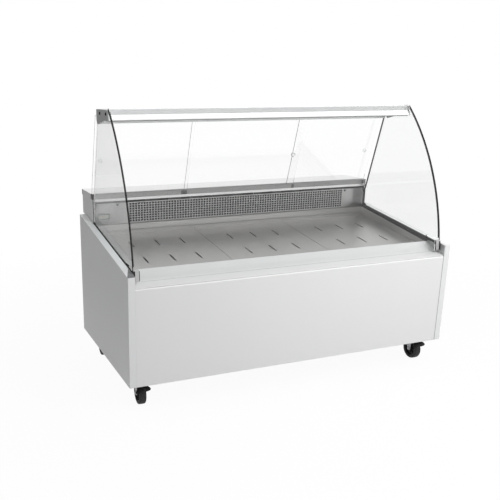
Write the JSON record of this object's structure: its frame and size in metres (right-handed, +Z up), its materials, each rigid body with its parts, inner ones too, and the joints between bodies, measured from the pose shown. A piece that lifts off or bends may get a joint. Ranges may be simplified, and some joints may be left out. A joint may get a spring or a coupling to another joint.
{
  "type": "fish display case",
  "caption": "Refrigerated fish display case on castors: curved tilting front glass, tilted sliding rear panes, steel well with lift-out deck, worktop and canopy lamp.",
  "frame": {"origin": "on the floor, under the middle of the case's outer box", "axes": "+X to the right of a customer who faces the case, the customer's side faces -Y, +Z up"},
  "size_m": [2, 1.052, 1.535],
  "materials": {
    "white_lacquer": "white lacquered panel",
    "white_sheet": "white powder coat",
    "stainless": "brushed stainless steel",
    "galvanised": "zinc plated steel",
    "clear_glass": "clear toughened glass",
    "dark_trim": "dark matt trim",
    "aluminium": "satin anodised aluminium",
    "grey_trim": "grey moulded trim",
    "lamp_cover": "opal diffuser",
    "foam": "rigid foam",
    "black_rubber": "black rubber",
    "black_plastic": "black moulded plastic",
    "coil": "finned aluminium",
    "copper": "copper tube",
    "compressor_black": "black enamel"
  },
  "bodies": {
    "case": {"end_panel_left": "white_lacquer", "end_panel_right": "white_lacquer", "front_panel": "white_sheet", "rear_panel": "white_sheet", "rear_grille": "white_sheet", "well_tub": "stainless", "well_insulation": "foam", "front_rail": "stainless", "rail_cap_left": "stainless", "rail_cap_right": "stainless", "side_channel_left": "dark_trim", "side_channel_right": "dark_trim", "side_glass_left": "clear_glass", "side_glass_right": "clear_glass", "rear_duct": "stainless", "worktop": "stainless", "air_panel": "stainless", "thermometer": "lamp_cover", "door_head_track": "aluminium", "door_sill_track": "stainless", "canopy": "aluminium", "canopy_bracket_left": "grey_trim", "canopy_bracket_right": "grey_trim", "screws": "dark_trim", "lamp": "lamp_cover", "evaporator": "coil", "compressor": "compressor_black", "condenser": "coil", "fan_shroud": "galvanised", "copper_lines": "copper", "control_panel": "black_plastic", "drain_pipe": "grey_trim", "castor_plates": "galvanised", "base_frame": "galvanised", "floor_tray": "galvanised"},
    "glass": {"front_glass": "clear_glass", "glass_clamps": "aluminium"},
    "fan": {"condenser_fan": "black_plastic"},
    "rocker": {"power_switch": "black_plastic"},
    "pane_left": {"rear_pane_left": "clear_glass", "pane_knob_left": "grey_trim"},
    "deck_left": {"deck_tray_left": "stainless"},
    "pane_middle": {"rear_pane_middle": "clear_glass", "pane_knob_middle": "grey_trim"},
    "deck_middle": {"deck_tray_middle": "stainless"},
    "pane_right": {"rear_pane_right": "clear_glass", "pane_knob_right": "grey_trim"},
    "deck_right": {"deck_tray_right": "stainless"},
    "fork_front_left": {"castor_fork_front_left": "galvanised"},
    "wheel_front_left": {"castor_wheel_front_left": "black_rubber"},
    "pedal_front_left": {"brake_pedal_front_left": "black_plastic"},
    "fork_front_right": {"castor_fork_front_right": "galvanised"},
    "wheel_front_right": {"castor_wheel_front_right": "black_rubber"},
    "pedal_front_right": {"brake_pedal_front_right": "black_plastic"},
    "fork_rear_left": {"castor_fork_rear_left": "galvanised"},
    "wheel_rear_left": {"castor_wheel_rear_left": "black_rubber"},
    "fork_rear_right": {"castor_fork_rear_right": "galvanised"},
    "wheel_rear_right": {"castor_wheel_rear_right": "black_rubber"}
  },
  "joints": [
    {"name": "glass_hinge", "type": "hinge", "parent": "case", "child": "glass", "pos_m": [0, -0.481, 0.716], "axis": [1, 0, 0], "range_deg": [0, 60]},
    {"name": "pane_left_slide", "type": "slide", "parent": "case", "child": "pane_left", "axis": [1, 0, 0], "range_m": [0, 0.34]},
    {"name": "pane_middle_slide", "type": "slide", "parent": "case", "child": "pane_middle", "axis": [1, 0, 0], "range_m": [-0.54, 0.54]},
    {"name": "pane_right_slide", "type": "slide", "parent": "case", "child": "pane_right", "axis": [1, 0, 0], "range_m": [-0.34, 0]},
    {"name": "deck_left_lift", "type": "slide", "parent": "case", "child": "deck_left", "axis": [0, 0, 1], "range_m": [0, 0.12]},
    {"name": "deck_middle_lift", "type": "slide", "parent": "case", "child": "deck_middle", "axis": [0, 0, 1], "range_m": [0, 0.12]},
    {"name": "deck_right_lift", "type": "slide", "parent": "case", "child": "deck_right", "axis": [0, 0, 1], "range_m": [0, 0.12]},
    {"name": "fan_spin", "type": "hinge", "parent": "case", "child": "fan", "pos_m": [0.713, 0.304, 0.3275], "axis": [0, 1, 0], "continuous": true},
    {"name": "power_rock", "type": "hinge", "parent": "case", "child": "rocker", "pos_m": [-0.56, 0.5215, 0.955], "axis": [1, 0, 0], "range_deg": [-8, 8]},
    {"name": "swivel_front_left", "type": "hinge", "parent": "case", "child": "fork_front_left", "pos_m": [-0.903, -0.372, 0.15], "axis": [0, 0, 1], "continuous": true},
    {"name": "roll_front_left", "type": "hinge", "parent": "fork_front_left", "child": "wheel_front_left", "pos_m": [-0.90499, -0.40995, 0.0625], "axis": [0.9986, -0.0523, 0], "continuous": true},
    {"name": "pedal_front_left_press", "type": "hinge", "parent": "fork_front_left", "child": "pedal_front_left", "pos_m": [-0.90572, -0.42393, 0.1317], "axis": [0.9986, -0.0523, 0], "range_deg": [0, 15]},
    {"name": "swivel_front_right", "type": "hinge", "parent": "case", "child": "fork_front_right", "pos_m": [0.903, -0.372, 0.15], "axis": [0, 0, 1], "continuous": true},
    {"name": "roll_front_right", "type": "hinge", "parent": "fork_front_right", "child": "wheel_front_right", "pos_m": [0.90101, -0.40995, 0.0625], "axis": [0.9986, -0.0523, 0], "continuous": true},
    {"name": "pedal_front_right_press", "type": "hinge", "parent": "fork_front_right", "child": "pedal_front_right", "pos_m": [0.90028, -0.42393, 0.1317], "axis": [0.9986, -0.0523, 0], "range_deg": [0, 15]},
    {"name": "swivel_rear_left", "type": "hinge", "parent": "case", "child": "fork_rear_left", "pos_m": [-0.903, 0.367, 0.15], "axis": [0, 0, 1], "continuous": true},
    {"name": "roll_rear_left", "type": "hinge", "parent": "fork_rear_left", "child": "wheel_rear_left", "pos_m": [-0.90499, 0.32905, 0.0625], "axis": [0.9986, -0.0523, 0], "continuous": true},
    {"name": "swivel_rear_right", "type": "hinge", "parent": "case", "child": "fork_rear_right", "pos_m": [0.903, 0.367, 0.15], "axis": [0, 0, 1], "continuous": true},
    {"name": "roll_rear_right", "type": "hinge", "parent": "fork_rear_right", "child": "wheel_rear_right", "pos_m": [0.90101, 0.32905, 0.0625], "axis": [0.9986, -0.0523, 0], "continuous": true}
  ]
}
